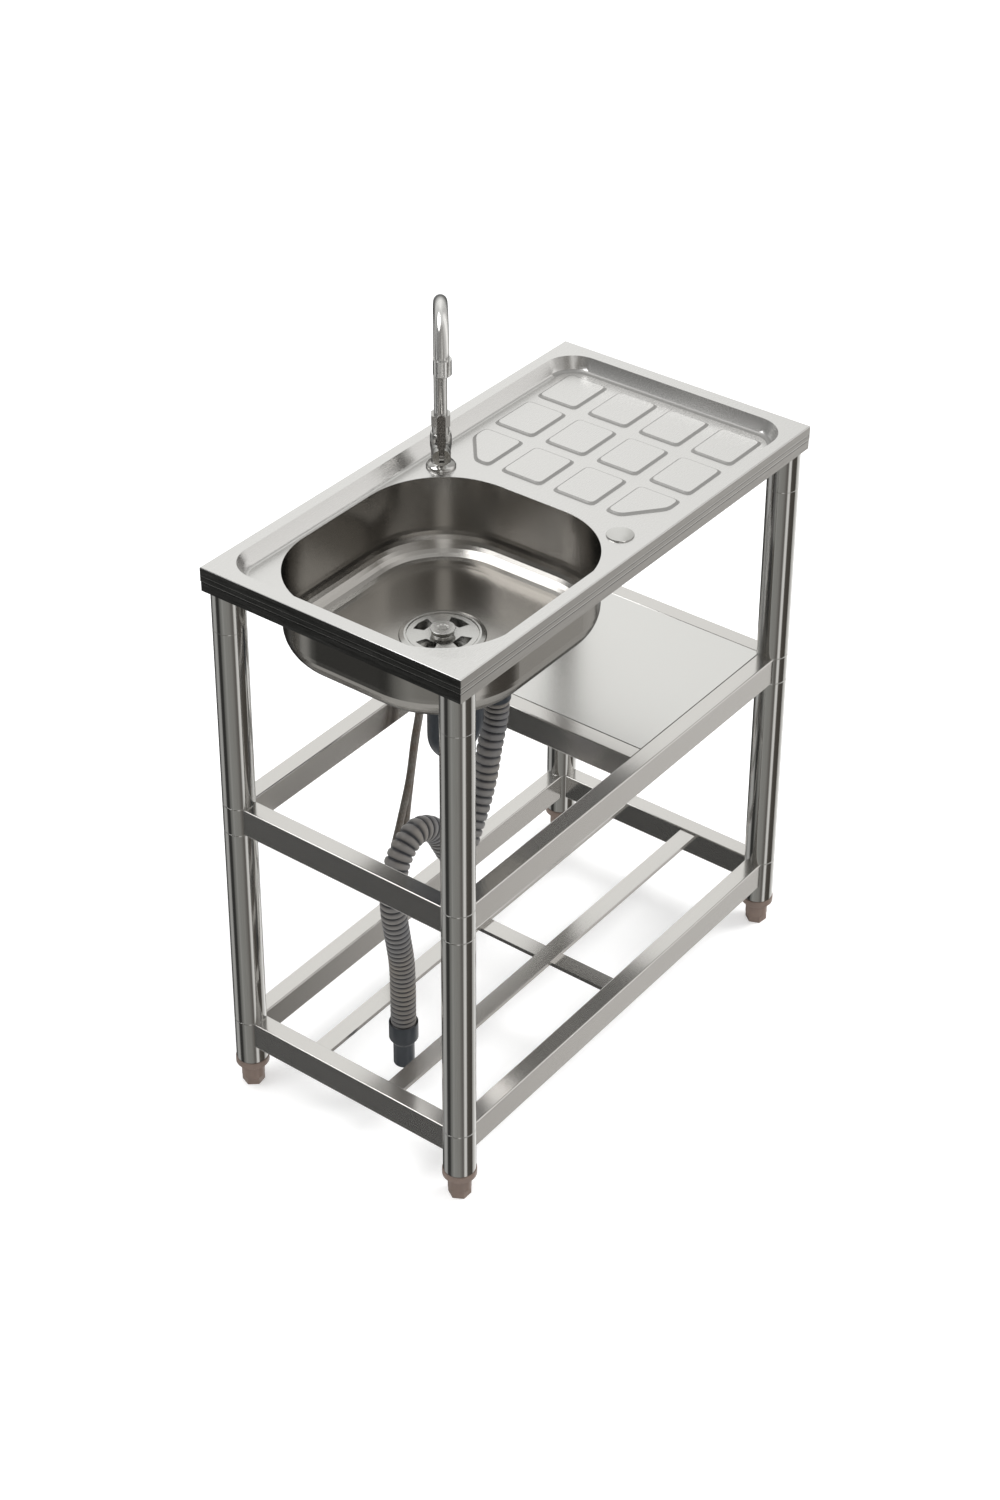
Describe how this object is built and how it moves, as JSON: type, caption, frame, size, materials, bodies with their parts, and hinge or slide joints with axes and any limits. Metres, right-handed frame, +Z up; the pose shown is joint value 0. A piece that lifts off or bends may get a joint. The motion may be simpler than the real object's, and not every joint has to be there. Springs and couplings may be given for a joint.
{
  "type": "free-standing kitchen sink",
  "caption": "Stainless sink unit with a bowl, a ridged draining board and a swan-neck tap on a tube frame with a half shelf and a bottom rack.",
  "frame": {"origin": "on the floor, at the centre of the footprint", "axes": "+X along the length towards the draining board, +Y towards the back where the tap stands, +Z up"},
  "size_m": [0.75, 0.4, 1.064],
  "materials": {
    "worktop_steel": "satin stainless sheet with a fine brushed grain",
    "bowl_steel": "drawn stainless, brighter and smoother than the top",
    "tube_steel": "polished stainless tube",
    "rail_steel": "satin stainless box section",
    "shelf_steel": "satin stainless sheet",
    "tap_chrome": "polished",
    "lever_metal": "dark polished",
    "strainer_steel": "polished stainless",
    "slate_plastic": "smooth dark slate moulding",
    "hose_plastic": "grey ribbed plastic",
    "foot_plastic": "brown moulding",
    "seal_rubber": "black",
    "braid_steel": "braided steel sleeve"
  },
  "bodies": {
    "stand": {"worktop": "worktop_steel", "sink_bowl": "bowl_steel", "hole_cover": "tap_chrome", "leg_sockets": "tube_steel", "upper_leg_fl": "tube_steel", "shelf_corner_fl": "tube_steel", "lower_leg_fl": "tube_steel", "rack_corner_fl": "tube_steel", "upper_leg_fr": "tube_steel", "shelf_corner_fr": "tube_steel", "lower_leg_fr": "tube_steel", "rack_corner_fr": "tube_steel", "upper_leg_br": "tube_steel", "shelf_corner_br": "tube_steel", "lower_leg_br": "tube_steel", "rack_corner_br": "tube_steel", "upper_leg_bl": "tube_steel", "shelf_corner_bl": "tube_steel", "lower_leg_bl": "tube_steel", "rack_corner_bl": "tube_steel", "shelf_rail_front": "rail_steel", "shelf_rail_back": "rail_steel", "shelf_rail_left": "rail_steel", "shelf_rail_right": "rail_steel", "shelf_rail_middle": "rail_steel", "rack_rail_front": "rail_steel", "rack_rail_back": "rail_steel", "rack_rail_left": "rail_steel", "rack_rail_right": "rail_steel", "rack_slat_front": "rail_steel", "rack_slat_back": "rail_steel", "rack_brace": "rail_steel", "shelf_panel": "shelf_steel", "foot_inserts": "foot_plastic", "drain_flange": "strainer_steel", "strainer_screw": "strainer_steel", "drain_gasket": "seal_rubber", "strainer_body": "slate_plastic", "trap_nut": "slate_plastic", "trap": "slate_plastic", "hose_cuff": "slate_plastic", "drain_hose": "hose_plastic", "hose_adapter": "slate_plastic", "tap_body": "tap_chrome", "spout_nut": "tap_chrome", "tap_backnut": "strainer_steel", "supply_hose_hot": "braid_steel", "supply_hose_cold": "braid_steel", "supply_nut_hot": "tap_chrome", "supply_nut_cold": "tap_chrome"},
    "spout": {"tap_spout": "tap_chrome", "aerator": "tap_chrome"},
    "lever_hub": {"lever_hub": "tap_chrome"},
    "lever": {"tap_lever": "lever_metal"},
    "basket": {"strainer_basket": "strainer_steel", "basket_knob": "strainer_steel"},
    "foot_fl": {"foot_fl": "foot_plastic"},
    "foot_fr": {"foot_fr": "foot_plastic"},
    "foot_br": {"foot_br": "foot_plastic"},
    "foot_bl": {"foot_bl": "foot_plastic"}
  },
  "joints": [
    {"name": "spout_swivel", "type": "hinge", "parent": "stand", "child": "spout", "pos_m": [0.023, 0.142, 0.8595], "axis": [0, 0, 1], "continuous": true},
    {"name": "lever_turn", "type": "hinge", "parent": "stand", "child": "lever_hub", "pos_m": [0.00615, 0.12786, 0.8285], "axis": [-0.766, -0.6428, 0], "range_deg": [-45, 45]},
    {"name": "lever_lift", "type": "hinge", "parent": "lever_hub", "child": "lever", "pos_m": [0.00086, 0.12342, 0.8285], "axis": [0.6428, -0.766, 0], "range_deg": [0, 25]},
    {"name": "basket_lift", "type": "slide", "parent": "stand", "child": "basket", "axis": [0, 0, 1], "range_m": [0, 0.15]},
    {"name": "foot_fl_screw", "type": "slide", "parent": "stand", "child": "foot_fl", "axis": [0, 0, -1], "range_m": [0, 0.012]},
    {"name": "foot_fr_screw", "type": "slide", "parent": "stand", "child": "foot_fr", "axis": [0, 0, -1], "range_m": [0, 0.012]},
    {"name": "foot_br_screw", "type": "slide", "parent": "stand", "child": "foot_br", "axis": [0, 0, -1], "range_m": [0, 0.012]},
    {"name": "foot_bl_screw", "type": "slide", "parent": "stand", "child": "foot_bl", "axis": [0, 0, -1], "range_m": [0, 0.012]}
  ]
}
